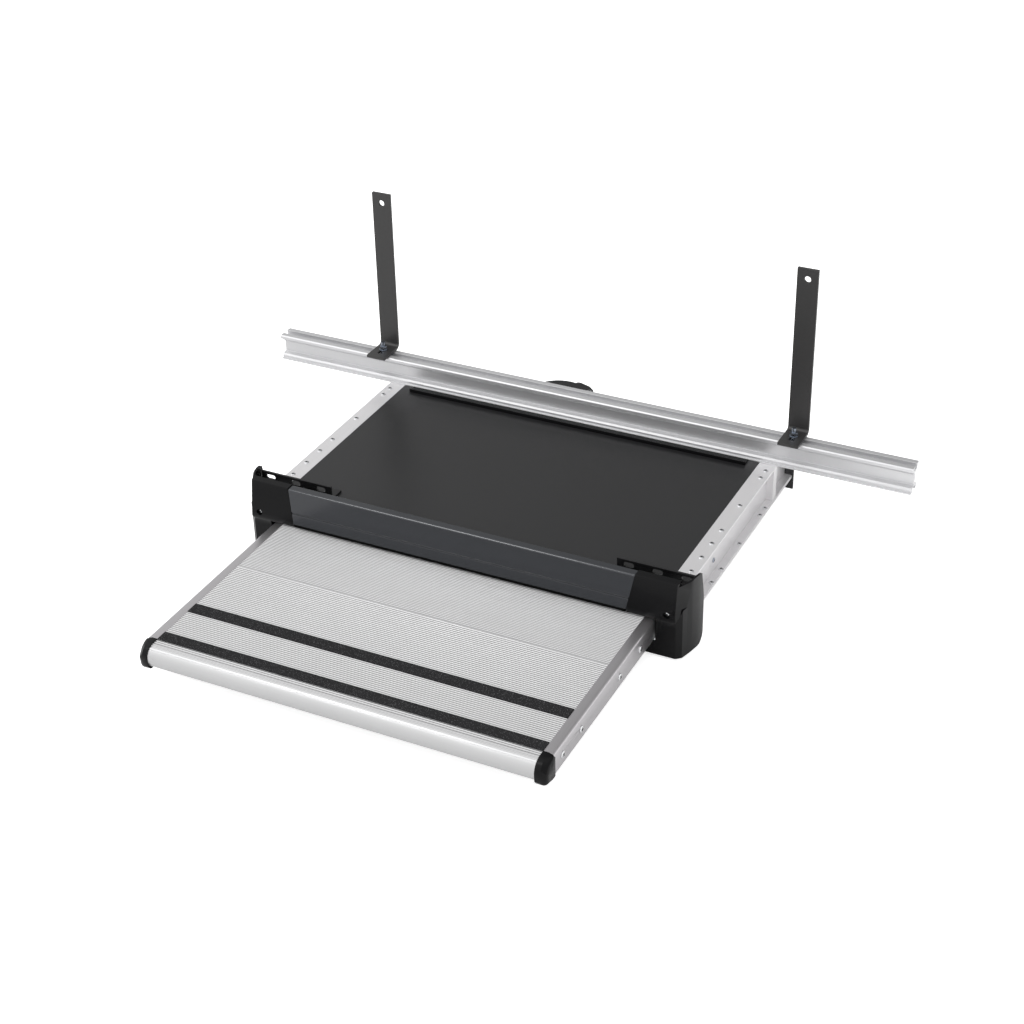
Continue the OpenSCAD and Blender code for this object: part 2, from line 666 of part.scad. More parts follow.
module cover_screws() color("silver") placed() for (side = [-1, 1]) on_side(side) {
    rod_y(lean(cover_screw_z) + 2.8, lean(cover_screw_z) + 5.5, cover_screw_x, cover_screw_z, 3.4);
    rod_y(lean(cover_screw_z) + 5.5 - e, cassette_y + 4, cover_screw_x, cover_screw_z, 2);
}

// Slotted angle that stands on the cassette and is screwed to the vehicle's sill
module sill_bracket(side) color([0.08, 0.08, 0.08]) placed() on_side(side) difference() {
    union() {
        block([bracket_in, bracket_in + bracket_len], [bracket_y, bracket_y + bracket_t],
            [cassette_top, cassette_top + bracket_h]);
        block([bracket_in, flange_out], [bracket_y, bracket_y + bracket_foot],
            [cassette_top, cassette_top + bracket_t]);
    }
    for (i = [0:2]) let (x = slot_row_x + (i - 1)*slot_pitch) {
        block([x - slot_len/2 + slot_w/2, x + slot_len/2 - slot_w/2],
            [bracket_y - 1, bracket_y + bracket_t + 1], [slot_z - slot_w/2, slot_z + slot_w/2]);
        for (k = [-1, 1]) rod_y(bracket_y - 1, bracket_y + bracket_t + 1,
            x + k*(slot_len - slot_w)/2, slot_z, slot_w/2);
    }
    for (y = foot_screw_y)
        rod_z(cassette_top - 1, cassette_top + bracket_t + 1, foot_screw_x, y, screw_r + 0.2);
}

module sill_bracket_left() sill_bracket(-1);

module sill_bracket_right() sill_bracket(1);

module bracket_screws() color("silver") placed()
    for (side = [-1, 1], y = foot_screw_y) on_side(side) {
        rod_z(cassette_top + bracket_t, cassette_top + bracket_t + 2, foot_screw_x, y, 3.8);
        rod_z(roof_z - ledge_t - 1, cassette_top + bracket_t + e, foot_screw_x, y, screw_r);
    }

// Rear

// Upright channel that stiffens the cassette's side under the beam, notched around the rib
module rear_gusset(side) color("lightgray") placed() on_side(side) difference() {
    block([web_out, flange_out - 0.7], gusset_y, [floor_z + foot_t, roof_z]);
    block([web_out + 3, flange_out - 3.7], [gusset_y[0] + 3, gusset_y[1] + 1], [floor_z - 1, roof_z + 1]);
    block([web_out - 1, rib_out], [gusset_y[0] - 1, gusset_y[1] + 1], [roof_z - rib_h, roof_z + 1]);
}

module rear_gusset_left() rear_gusset(-1);

module rear_gusset_right() rear_gusset(1);

module rear_plate() color([0.3, 0.3, 0.32]) placed() difference() {
    block([-flange_out - 2, flange_out + 2], [cassette_depth, cassette_depth + rear_plate_t],
        [-rear_plate_drop, roof_z]);
    block([-gearbox_x - plate_half - 3, -gearbox_x + plate_half + 3],
        [cassette_depth - 1, cassette_depth + rear_plate_t + 1], [notch_low, roof_z + 1]);
    for (x = plate_screw_x) rod_y(cassette_depth - 1, cassette_depth + rear_plate_t + 1,
        x, plate_screw_z, 2.2);
}

// Outline of one side of the beam, from its middle: a thick top flange, a slim web, and a foot
// with a chamfered shoulder and a thin lip
beam_side = let (d = beam_d/2, h = beam_h/2) [[d - 1.6, h], [d, h - 1.6], [d, h - 5.5], [d - 4, h - 5.5],
    [8.4, h - 9.2], [2.4, h - 14], [2.4, 9.3 - h], [d - 5, 7.9 - h], [d - 2.7, 5.8 - h],
    [d - 2.7, 2 - h], [d, 2 - h], [d, -h]];

module beam() color("silver") placed() along_x(-beam_len/2, beam_len/2)
    translate([beam_mid, beam_z + beam_h/2]) difference() {
        polygon(concat(beam_side,
            [for (i = [len(beam_side) - 1:-1:0]) [-beam_side[i][0], beam_side[i][1]]]));
        for (k = [0, 1]) mirror([0, k]) {
            translate([-beam_slot/2, beam_h/2 - lip_t - 1]) square([beam_slot, lip_t + 2]);
            translate([-slot_room/2, beam_h/2 - lip_t - slot_deep]) square([slot_room, slot_deep]);
        }
    }

// Slot bolts from the beam down through the top flanges, with washers and nuts
module beam_bolts() color("silver") placed() for (side = [-1, 1]) on_side(side) {
    rod_z(roof_z - 10, beam_z + lip_t + e, beam_bolt_x, beam_mid, 2.4);
    block([beam_bolt_x - 6, beam_bolt_x + 6], [beam_mid - 6, beam_mid + 6],
        [beam_z + lip_t, beam_z + lip_t + bolt_head]);
    translate([beam_bolt_x, beam_mid, roof_z - ledge_t - 4]) cylinder(h = 4, r = 4.2, $fn = 6);
}

// Flat bar bent to a foot at the bottom
module strap(side) color([0.1, 0.1, 0.1]) placed() on_side(side) difference() {
    bend = 9;
    along_x(strap_x - strap_w/2, strap_x + strap_w/2) {
        translate([foot_y, beam_top]) square([strap_y + strap_t - bend - foot_y, strap_t]);
        translate([strap_y, beam_top + bend]) square([strap_t, strap_h - bend]);
        translate([strap_y + strap_t - bend, beam_top + bend]) intersection() {
            difference() { circle(bend); circle(bend - strap_t); }
            translate([0, -bend]) square(bend);
        }
    }
    rod_y(strap_y - 1, strap_y + strap_t + 1, strap_x, beam_top + strap_h - strap_hole_drop,
        strap_hole/2);
    for (k = [0, -10]) rod_z(beam_top - 1, beam_top + strap_t + 1, strap_x, beam_mid + k, 3.6);
    block([strap_x - 3.6, strap_x + 3.6], [beam_mid - 10, beam_mid],
        [beam_top - 1, beam_top + strap_t + 1]);
}

module strap_left() strap(-1);

module strap_right() strap(1);

// Slot bolts up through the straps' feet, with washers and nuts
module strap_bolts() color("silver") placed() for (side = [-1, 1]) on_side(side) {
    rod_z(beam_top - lip_t - e, beam_top + strap_t + 13, strap_x, beam_mid, 2.9);
    block([strap_x - 6, strap_x + 6], [beam_mid - 6, beam_mid + 6],
        [beam_top - lip_t - bolt_head, beam_top - lip_t]);
    rod_z(beam_top + strap_t, beam_top + strap_t + 1.5, strap_x, beam_mid, 6.2);
    translate([strap_x, beam_mid, beam_top + strap_t + 1.5 - e]) cylinder(h = 5.5, r = 5.6, $fn = 6);
}

// Drive

// Steel plate that carries the gearbox on top and the motor below
module motor_plate() color("gray") placed() difference() {
    union() {
        block([-gearbox_x - plate_half, -gearbox_x + plate_half],
            [gearbox_y - gearbox_r, motor_y + motor_r], [plate_z, plate_z + flange_t]);
        block([-gearbox_x - ear_out, -gearbox_x + ear_out],
            [gearbox_y - gearbox_r, cassette_depth], [plate_z, plate_z + flange_t]);
        for (k = [-1, 1]) translate([-gearbox_x + k*(ear_out - 15), 0, 0])
            block([-14, 14], [cassette_depth - 3, cassette_depth], [plate_z, ear_high]);
    }
    rod_z(plate_z - 1, plate_z + flange_t + 1, -gearbox_x, gearbox_y, shaft_r + axle_gap);
    rod_z(plate_z - 1, plate_z + flange_t + 1, motor_x, motor_y, pinion_shaft_r + axle_gap);
    for (x = plate_screw_x) rod_y(cassette_depth - 4, cassette_depth + 1, x, plate_screw_z, 1.9 + play);
}

module plate_screws() color("silver") placed() for (x = plate_screw_x) {
    rod_y(cassette_depth + rear_plate_t, cassette_depth + rear_plate_t + 2.2, x, plate_screw_z, 3.3);
    rod_y(cassette_depth - 3, cassette_depth + rear_plate_t + e, x, plate_screw_z, 1.9);
}

// Plan of the gearbox: a round part for the main gear and a lobe for the pinion
module gearbox_plan(grow) {
    circle(gearbox_r + grow, $fn = 96);
    offset(delta = grow) polygon(gearbox_r*lobe_outline);
}

lobe_outline = [[0, 0], [0.21, 0.98], [0.24, 1.05], [0.34, 1.065], [0.71, 0.94], [0.94, 0.74],
    [1.02, 0.49], [0.89, 0.11]];
lid_screw_at = [[-1, 0], [1, 0], [0, -1], [-0.71, 0.71], [0.95, 0.78]];

module gearbox_housing() color([0.12, 0.12, 0.13]) placed() translate([-gearbox_x, gearbox_y, 0])
    difference() {
        translate([0, 0, gearbox_z]) linear_extrude(gearbox_top - lid_t - gearbox_z) gearbox_plan(0);
        translate([0, 0, gearbox_z + 2]) linear_extrude(40) difference() {
            gearbox_plan(-3);
            for (p = lid_screw_at) translate(p*(gearbox_r - 6)) circle(4.5);
        }
        rod_z(gearbox_z - 1, gearbox_z + 4, 0, 0, shaft_r + axle_gap);
        rod_z(gearbox_z - 1, gearbox_z + 4, pinion_at[0], pinion_at[1], pinion_shaft_r + axle_gap);
        for (p = lid_screw_at) translate([p[0], p[1], 0]*(gearbox_r - 6))
            rod_z(gearbox_z + 2, gearbox_top, 0, 0, 1.6 + play);
    }

module gearbox_lid() color([0.1, 0.1, 0.1]) placed() translate([-gearbox_x, gearbox_y, 0])
    difference() {
        translate([0, 0, gearbox_top - lid_t]) linear_extrude(lid_t) gearbox_plan(0);
        for (p = lid_screw_at) translate([p[0], p[1], 0]*(gearbox_r - 6)) {
            rod_z(gearbox_top - lid_t - 1, gearbox_top + 1, 0, 0, 1.9);
            rod_z(gearbox_top - 1.4, gearbox_top + 1, 0, 0, 3.6);
        }
    }

module lid_screws() color("silver") placed() translate([-gearbox_x, gearbox_y, 0])
    for (p = lid_screw_at) translate([p[0], p[1], 0]*(gearbox_r - 6)) {
        rod_z(gearbox_top - 1.4, gearbox_top, 0, 0, 3.2);
        rod_z(gearbox_z + 3, gearbox_top - 1.4 + e, 0, 0, 1.6);
    }

// Motor can with a flat back and a plug socket on its side
module motor() color([0.15, 0.15, 0.16]) placed() translate([motor_x, motor_y, 0])
    difference() {
        union() {
            rod_z(plate_z - motor_len, plate_z, 0, 0, motor_r);
            rod_z(plate_z - motor_len - 3, plate_z - motor_len + e, 0, 0, motor_r - 5);
            block([motor_r - 6, motor_r + 9], [-8, 8], [plate_z - motor_len + 4, plate_z - motor_len + 18]);
        }
        rod_z(plate_z - 12, plate_z + 1, 0, 0, pinion_shaft_r + axle_gap);
        block([motor_r - 1, motor_r + 10], [-6, 6], [plate_z - motor_len + 6, plate_z - motor_len + 16]);
    }

// Outline of a spur gear with straight sided teeth and room for backlash
module gear_outline(teeth) {
    r = gear_module*teeth/2;
    step = 360/teeth;
    polygon([for (i = [0:teeth - 1], k = [0:3]) let (
        a = step*(i + [-0.24, -0.1, 0.1, 0.24][k]),
        d = r + gear_module*(k == 1 || k == 2 ? 0.8 : -1.15)) d*[cos(a), sin(a)]]);
}

module main_gear() color("tan") placed() translate([-gearbox_x, gearbox_y, gear_z]) difference() {
    rotate(pinion_angle) linear_extrude(gear_top - gear_z) gear_outline(gear_teeth);
    translate([0, 0, -1]) cylinder(h = 30, r = shaft_r + play);
}

module crank_shaft() color("silver") placed() {
    rod_z(crank_z - e, gear_top, -gearbox_x, gearbox_y, shaft_r);
    rod_z(crank_z - 3, crank_z, -gearbox_x, gearbox_y, shaft_r + 2.5);
}

module crank_arm() color("dimgray") placed() translate([-gearbox_x, 0, crank_z]) difference() {
    linear_extrude(crank_t) {
        translate([0, gearbox_y]) circle(crank_w/2 + 5);
        translate([0, crossbar_y]) circle(crank_w/2 + 2);
        translate([-crank_w/2, crossbar_y]) square([crank_w, crank_len]);
    }
    translate([0, gearbox_y, -1]) cylinder(h = crank_t + 2, r = shaft_r + play);
    translate([0, crossbar_y, -1]) cylinder(h = crank_t + 2, r = axle_r + play);
}

// Shouldered pin on which the crank's roller turns
module crank_pin() color("silver") placed() {
    rod_z(crank_z - 6, crank_z + crank_t + e, -gearbox_x, crossbar_y, axle_r);
    rod_z(crank_z + crank_t, crank_z + crank_t + 2, -gearbox_x, crossbar_y, axle_r + 3);
    rod_z(crank_z - 7, crank_z - 6 + e, -gearbox_x, crossbar_y, axle_r + 2);
}

module crank_roller() color("white") placed() translate([-gearbox_x, crossbar_y, crank_z - 5.8])
    difference() {
        cylinder(h = 5.5, r = crank_roller_r);
        translate([0, 0, -1]) cylinder(h = 8, r = axle_r + axle_gap);
    }

module motor_pinion() color("goldenrod") placed() translate([motor_x, motor_y, 0]) {
    translate([0, 0, gear_z]) rotate(pinion_angle - 180 + 180/pinion_teeth)
        linear_extrude(gear_top - gear_z) gear_outline(pinion_teeth);
    rod_z(plate_z - 11, gear_z + e, 0, 0, pinion_shaft_r);
}

tread_plank_front();
tread_plank_rear();
grip_tape_front();
grip_tape_rear();
tread_rail_left();
tread_rail_right();
nose_cap_left();
nose_cap_right();
rail_screws();
rear_crossbar();
rear_axles();
rear_roller_left();
rear_roller_right();
top_panel();
rear_clamp_strip();
side_rail_left();
side_rail_right();
top_flange_left();
top_flange_right();
bottom_flange_left();
bottom_flange_right();
flange_screws();
uplift_guide_left();
uplift_guide_right();
guide_screws();
end_plate_left();
end_plate_right();
roller_bracket_left();
roller_bracket_right();
front_roller_left();
front_roller_right();
fascia();
fascia_screws();
wiper_strip();
end_cover_left();
end_cover_right();
cover_screws();
sill_bracket_left();
sill_bracket_right();
bracket_screws();
rear_gusset_left();
rear_gusset_right();
rear_plate();
beam();
beam_bolts();
strap_left();
strap_right();
strap_bolts();
motor_plate();
plate_screws();
gearbox_housing();
gearbox_lid();
lid_screws();
motor();
main_gear();
crank_shaft();
crank_arm();
crank_pin();
crank_roller();
motor_pinion();
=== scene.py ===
import json
import math

import bmesh
import bpy
from mathutils import Matrix, Vector


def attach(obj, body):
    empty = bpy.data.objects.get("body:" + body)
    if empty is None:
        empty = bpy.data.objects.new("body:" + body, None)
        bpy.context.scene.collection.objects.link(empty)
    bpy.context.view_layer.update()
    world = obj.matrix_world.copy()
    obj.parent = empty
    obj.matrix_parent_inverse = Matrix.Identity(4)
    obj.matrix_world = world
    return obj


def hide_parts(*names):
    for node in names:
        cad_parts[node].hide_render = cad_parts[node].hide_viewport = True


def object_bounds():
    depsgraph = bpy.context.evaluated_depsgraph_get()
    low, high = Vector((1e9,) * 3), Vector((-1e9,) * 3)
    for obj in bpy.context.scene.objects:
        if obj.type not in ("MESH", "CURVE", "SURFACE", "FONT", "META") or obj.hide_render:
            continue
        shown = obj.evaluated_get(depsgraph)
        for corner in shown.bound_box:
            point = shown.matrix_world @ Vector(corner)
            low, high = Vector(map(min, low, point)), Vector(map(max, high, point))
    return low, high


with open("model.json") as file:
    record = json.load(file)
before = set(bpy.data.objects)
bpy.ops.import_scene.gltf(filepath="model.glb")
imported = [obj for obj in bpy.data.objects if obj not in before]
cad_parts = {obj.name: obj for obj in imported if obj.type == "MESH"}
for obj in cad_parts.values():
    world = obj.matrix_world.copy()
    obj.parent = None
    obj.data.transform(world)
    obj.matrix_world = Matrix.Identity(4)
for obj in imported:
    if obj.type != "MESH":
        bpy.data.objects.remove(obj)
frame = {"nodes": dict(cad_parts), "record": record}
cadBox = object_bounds()
nodes = frame["nodes"]
scene = bpy.context.scene
scene.view_settings.view_transform = "Standard"
print("stage: frame loaded")

mm = 0.001
# From the fascia's front top edge over the tread to the frame's origin in the bracket slots
toFrame = Vector((0, -0.040, -0.0425))


# A point in millimetres: across, back from the fascia's front, and up from the tread's top
def step(x, y, z):
    return Vector((x * mm, y * mm, z * mm)) + toFrame


def newGroup(name, inputs, outputs):
    group = bpy.data.node_groups.new(name, "ShaderNodeTree")
    for label, kind, value in inputs:
        socket = group.interface.new_socket(name=label, in_out="INPUT", socket_type=kind)
        if value is not None:
            socket.default_value = value
    for label, kind in outputs:
        group.interface.new_socket(name=label, in_out="OUTPUT", socket_type=kind)
    return group, group.nodes.new("NodeGroupInput"), group.nodes.new("NodeGroupOutput")


def addNode(tree, kind, links=(), **values):
    node = tree.nodes.new(kind)
    for key, value in values.items():
        if hasattr(node, key):
            setattr(node, key, value)
        else:
            node.inputs[key.replace("_", " ")].default_value = value
    for source, target in links:
        tree.links.new(source, node.inputs[target])
    return node


def mathNode(tree, operation, a, b=0.0):
    node = tree.nodes.new("ShaderNodeMath")
    node.operation = operation
    for index, value in enumerate((a, b)):
        if isinstance(value, (int, float)):
            node.inputs[index].default_value = value
        else:
            tree.links.new(value, node.inputs[index])
    return node.outputs[0]


def ramp(tree, value, low, high, toLow=0.0, toHigh=1.0, kind="SMOOTHSTEP"):
    node = tree.nodes.new("ShaderNodeMapRange")
    node.interpolation_type = kind
    tree.links.new(value, node.inputs["Value"])
    for label, number in (("From Min", low), ("From Max", high), ("To Min", toLow), ("To Max", toHigh)):
        node.inputs[label].default_value = number
    return node.outputs["Result"]


def scaled(tree, colour, gain):
    node = tree.nodes.new("ShaderNodeVectorMath")
    node.operation = "SCALE"
    tree.links.new(colour, node.inputs[0])
    tree.links.new(gain, node.inputs["Scale"])
    return node.outputs[0]


finishSockets = [("Color", "NodeSocketColor"), ("Value", "NodeSocketFloat"), ("Normal", "NodeSocketVector")]

# How fine and broad noise mix in the two even finishes
surfaceSettings = {
    "lines": {"name": "dieLines", "fineDetail": 4.0, "fineRoughness": 0.6, "fineShare": 0.6,
        "broadScale": 7.0, "broadDetail": 3.0, "broadRoughness": 0.5, "depth": 0.0004},
    "grain": {"name": "grain", "fineDetail": 3.0, "fineRoughness": 0.55, "fineShare": 0.5,
        "broadScale": 9.0, "broadDetail": 4.0, "broadRoughness": 0.55, "depth": 0.0003},
}
gritSettings = {"speckRim": 0.45, "speckCore": 0.15, "depth": 0.0004}


def leaveFinish(group, enter, leave, color, value, height, depth):
    bump = addNode(group, "ShaderNodeBump", [(enter.outputs["Height"], "Strength"), (height, "Height")],
        Distance=depth)
    group.links.new(color, leave.inputs["Color"])
    group.links.new(value, leave.inputs["Value"])
    group.links.new(bump.outputs[0], leave.inputs["Normal"])
    return group


# Fine noise over broad and faint patches: stretched along a profile it gives drawn metal,
# and as it is the grain of moulded or powder coated pieces
def makeSurfaceGroup(settings):
    group, enter, leave = newGroup(settings["name"], [
        ("Stretch", "NodeSocketVector", (1, 1, 1)), ("Scale", "NodeSocketFloat", 900.0),
        ("Height", "NodeSocketFloat", 0.1), ("Spread", "NodeSocketFloat", 0.1),
        ("Color", "NodeSocketColor", (0.5, 0.5, 0.5, 1))], finishSockets)
    place = addNode(group, "ShaderNodeTexCoord")
    stretch = addNode(group, "ShaderNodeVectorMath", operation="MULTIPLY")
    group.links.new(place.outputs["Object"], stretch.inputs[0])
    group.links.new(enter.outputs["Stretch"], stretch.inputs[1])
    fine = addNode(group, "ShaderNodeTexNoise", [(stretch.outputs[0], "Vector"),
        (enter.outputs["Scale"], "Scale")],
        Detail=settings["fineDetail"], Roughness=settings["fineRoughness"])
    broad = addNode(group, "ShaderNodeTexNoise", [(place.outputs["Object"], "Vector")],
        Scale=settings["broadScale"], Detail=settings["broadDetail"], Roughness=settings["broadRoughness"])
    value = mathNode(group, "ADD", mathNode(group, "MULTIPLY", fine.outputs[0], settings["fineShare"]),
        mathNode(group, "MULTIPLY", broad.outputs[0], 1 - settings["fineShare"]))
    gain = mathNode(group, "ADD", 1.0, mathNode(group, "MULTIPLY",
        mathNode(group, "SUBTRACT", value, 0.5), enter.outputs["Spread"]))
    return leaveFinish(group, enter, leave, scaled(group, enter.outputs["Color"], gain), value,
        fine.outputs[0], settings["depth"])


# Mineral grit in black binder: pale specks on a rough ground
def makeGritGroup(settings):
    group, enter, leave = newGroup("grit", [
        ("Scale", "NodeSocketFloat", 900.0), ("Specks", "NodeSocketFloat", 0.12),
        ("Height", "NodeSocketFloat", 1.0), ("Color", "NodeSocketColor", (0.02, 0.02, 0.02, 1)),
        ("Speck Color", "NodeSocketColor", (0.3, 0.3, 0.3, 1))], finishSockets)
    place = addNode(group, "ShaderNodeTexCoord")
    cells = addNode(group, "ShaderNodeTexVoronoi", [(place.outputs["Object"], "Vector"),
        (enter.outputs["Scale"], "Scale")], feature="F1")
    tone = addNode(group, "ShaderNodeSeparateColor", [(cells.outputs["Color"], "Color")])
    chosen = mathNode(group, "LESS_THAN", tone.outputs[0], enter.outputs["Specks"])
    core = ramp(group, cells.outputs["Distance"], settings["speckRim"], settings["speckCore"])
    mask = mathNode(group, "MULTIPLY", chosen, core)
    mix = addNode(group, "ShaderNodeMix", data_type="RGBA")
    group.links.new(mask, mix.inputs["Factor"])
    # Of this node's sockets, 6 and 7 take the two colours and 2 gives the mixed one
    group.links.new(enter.outputs["Color"], mix.inputs[6])
    group.links.new(enter.outputs["Speck Color"], mix.inputs[7])
    return leaveFinish(group, enter, leave, mix.outputs[2], mask, cells.outputs["Distance"],
        settings["depth"])


# Painted shade on the tread: darker towards the bottom of its grooves, and darker over the whole nose ahead
# of them
def makeGrooveShadeGroup():
    group, enter, leave = newGroup("paintedGrooveShade", [
        ("Top", "NodeSocketFloat", -0.0425), ("Depth", "NodeSocketFloat", 0.0007),
        ("Front", "NodeSocketFloat", -0.34), ("Dark", "NodeSocketFloat", 0.5),
        ("Nose Loss", "NodeSocketFloat", 0.2),
        ("Color", "NodeSocketColor", (0.7, 0.7, 0.7, 1))], [("Color", "NodeSocketColor")])
    place = addNode(group, "ShaderNodeTexCoord")
    axes = addNode(group, "ShaderNodeSeparateXYZ", [(place.outputs["Object"], "Vector")])
    # Painted groove shade: the deeper below the top, up to the given depth, the darker the colour
    below = mathNode(group, "SUBTRACT", enter.outputs["Top"], axes.outputs["Z"])
    share = mathNode(group, "MINIMUM", mathNode(group, "MAXIMUM",
        mathNode(group, "DIVIDE", below, enter.outputs["Depth"]), 0.0), 1.0)
    behind = mathNode(group, "GREATER_THAN", axes.outputs["Y"], enter.outputs["Front"])
    paintedShade = mathNode(group, "MULTIPLY", mathNode(group, "MULTIPLY", share, behind),
        enter.outputs["Dark"])
    # Painted shade on the nose: ahead of Front the whole colour is darkened by a fixed share
    ahead = mathNode(group, "SUBTRACT", 1.0, behind)
    loss = mathNode(group, "ADD", paintedShade, mathNode(group, "MULTIPLY", ahead, enter.outputs["Nose Loss"]))
    group.links.new(scaled(group, enter.outputs["Color"], mathNode(group, "SUBTRACT", 1.0, loss)),
        leave.inputs["Color"])
    return group


groups = {key: makeSurfaceGroup(settings) for key, settings in surfaceSettings.items()}
groups["grit"] = makeGritGroup(gritSettings)
grooveShadeGroup = makeGrooveShadeGroup()
sheen = {"specular": "Specular IOR Level", "coat": "Coat Weight", "coatRoughness": "Coat Roughness"}


def makeMaterial(name, group, color, metallic, roughness, roughSpread=0.15, grooves=None, **inputs):
    material = bpy.data.materials.new(name)
    material.use_nodes = True
    tree = material.node_tree
    shader = tree.nodes["Principled BSDF"]
    effect = tree.nodes.new("ShaderNodeGroup")
    effect.node_tree = groups[group]
    effect.inputs["Color"].default_value = (*color, 1)
    for key, value in inputs.items():
        if key in sheen:
            shader.inputs[sheen[key]].default_value = value
        else:
            effect.inputs[key.replace("_", " ")].default_value = value
    base = effect.outputs["Color"]
    # Painted shade in the tread's grooves and on its nose, where settings for it are given
    if grooves:
        paintedShade = tree.nodes.new("ShaderNodeGroup")
        paintedShade.node_tree = grooveShadeGroup
        for key, value in grooves.items():
            paintedShade.inputs[key].default_value = value
        tree.links.new(base, paintedShade.inputs["Color"])
        base = paintedShade.outputs["Color"]
    tree.links.new(base, shader.inputs["Base Color"])
    tree.links.new(effect.outputs["Normal"], shader.inputs["Normal"])
    rough = mathNode(tree, "ADD", roughness - roughSpread / 2,
        mathNode(tree, "MULTIPLY", effect.outputs["Value"], roughSpread))
    tree.links.new(rough, shader.inputs["Roughness"])
    shader.inputs["Metallic"].default_value = metallic
    return material


alongX = (0.04, 1.0, 1.0)
alongY = (1.0, 0.04, 1.0)
# Painted shade of the tread: its top, the grooves' depth, where the nose begins, and how much grooves and
# nose are darkened
treadPaintedShade = {"Top": toFrame.z, "Depth": 0.7 * mm, "Front": -339.5 * mm, "Dark": 0.5, "Nose Loss": 0.26}
looks = {
    "tread_aluminium": makeMaterial("treadAluminium", "lines", (0.74, 0.74, 0.745), 0.55, 0.34,
        Spread=0.1, Height=0.08, Scale=500, Stretch=alongX, grooves=treadPaintedShade),
    "rail_aluminium": makeMaterial("railAluminium", "lines", (0.58, 0.565, 0.58), 0.9, 0.3,
        Spread=0.12, Height=0.03, Scale=600, Stretch=alongY),
    "bright_aluminium": makeMaterial("brightAluminium", "lines", (0.84, 0.83, 0.84), 0.6, 0.34,
        Spread=0.08, Height=0.03, Scale=450, Stretch=alongY),
    "beam_aluminium": makeMaterial("beamAluminium", "lines", (0.66, 0.66, 0.67), 0.75, 0.45,
        Spread=0.08, Height=0.02, Scale=450, Stretch=alongX),
    "grip": makeMaterial("gripTape", "grit", (0.014, 0.014, 0.015), 0.0, 0.8, roughSpread=-0.3,
        Scale=1300, Specks=0.2, Height=1.0, specular=0.3, Speck_Color=(0.25, 0.25, 0.26, 1)),
    "black_plastic": makeMaterial("blackPlastic", "grain", (0.0035, 0.0035, 0.004), 0.0, 0.24,
        Spread=0.3, Height=0.05, Scale=1800, specular=0.16, roughSpread=0.08),
    "wiper_rubber": makeMaterial("wiperRubber", "grain", (0.002, 0.002, 0.002), 0.0, 0.6,
        Spread=0.3, Height=0.1, Scale=1600, specular=0.06),
    "white_nylon": makeMaterial("whiteNylon", "grain", (0.8, 0.8, 0.78), 0.0, 0.45,
        Spread=0.06, Height=0.08, Scale=700),
    "panel_paint": makeMaterial("panelPaint", "grain", (0.013, 0.0132, 0.014), 0.0, 0.34,
        Spread=0.2, Height=0.05, Scale=1100),
    "fascia_finish": makeMaterial("fasciaFinish", "lines", (0.022, 0.0245, 0.03), 0.3, 0.22,
        roughSpread=0.04, Spread=0.04, Height=0.008, Scale=500, Stretch=alongX, coat=0.6,
        coatRoughness=0.1),
    "black_steel": makeMaterial("blackSteel", "grain", (0.009, 0.009, 0.0095), 0.0, 0.33,
        Spread=0.3, Height=0.1, Scale=1400, specular=0.4),
    "strap_steel": makeMaterial("strapSteel", "grain", (0.045, 0.044, 0.044), 0.3, 0.34,
        Spread=0.3, Height=0.05, Scale=1400),
    "plate_paint": makeMaterial("platePaint", "grain", (0.035, 0.035, 0.037), 0.2, 0.42,
        Spread=0.2, Height=0.1, Scale=900),
    "zinc": makeMaterial("zinc", "lines", (0.72, 0.73, 0.74), 1.0, 0.24,
        Spread=0.25, Height=0.08, Scale=300),
    "dark_zinc": makeMaterial("darkZinc", "lines", (0.32, 0.35, 0.4), 1.0, 0.2,
        Spread=0.25, Height=0.04, Scale=300),
    # Painted shade: a dark steel for the faces inside the screws' cross recesses
    "painted_recess_shade": makeMaterial("paintedRecessShade", "lines", (0.06, 0.06, 0.065), 0.7, 0.45,
        Spread=0.2, Height=0.1, Scale=300),
    "gear_steel": makeMaterial("gearSteel", "lines", (0.42, 0.42, 0.43), 1.0, 0.35,
        Spread=0.2, Height=0.1, Scale=400, Stretch=(1.0, 1.0, 0.1)),
    "brass": makeMaterial("brass", "lines", (0.7, 0.5, 0.2), 1.0, 0.3,
        Spread=0.15, Height=0.1, Scale=400, Stretch=(1.0, 1.0, 0.1)),
    "gearbox_black": makeMaterial("gearboxBlack", "grain", (0.007, 0.007, 0.0075), 0.0, 0.45,
        Spread=0.3, Height=0.4, Scale=700, specular=0.4),
    "motor_black": makeMaterial("motorBlack", "grain", (0.01, 0.01, 0.011), 0.2, 0.35,
        Spread=0.2, Height=0.15, Scale=900),
}
ownLook = {"beam": "beam_aluminium", "strap_bolts": "dark_zinc", "beam_bolts": "dark_zinc",
    "strap_left": "strap_steel", "strap_right": "strap_steel", "wiper_strip": "wiper_rubber"}
slotOf = {entry["node"]: entry["material_slot"] for entry in frame["record"]["subparts"]}
bodyOf = {name: body for body, members in frame["record"]["behaviour"]["bodies"].items()
    for name in members}


def paint(obj, look):
    material = looks[look]
    if not obj.data.materials:
        obj.data.materials.append(material)
    for index in range(len(obj.material_slots)):
        obj.material_slots[index].material = material


for name, obj in nodes.items():
    paint(obj, ownLook.get(name, slotOf[name]))
print("stage: materials done")


# Angles in degrees and lengths in millimetres; width is the bevel of a node that has none of its own
edgeSettings = {"weld": 0.002, "sharpAngle": 28, "flatAngle": 0.5, "bevelAngle": 35, "segments": 2,
    "width": 0.3}


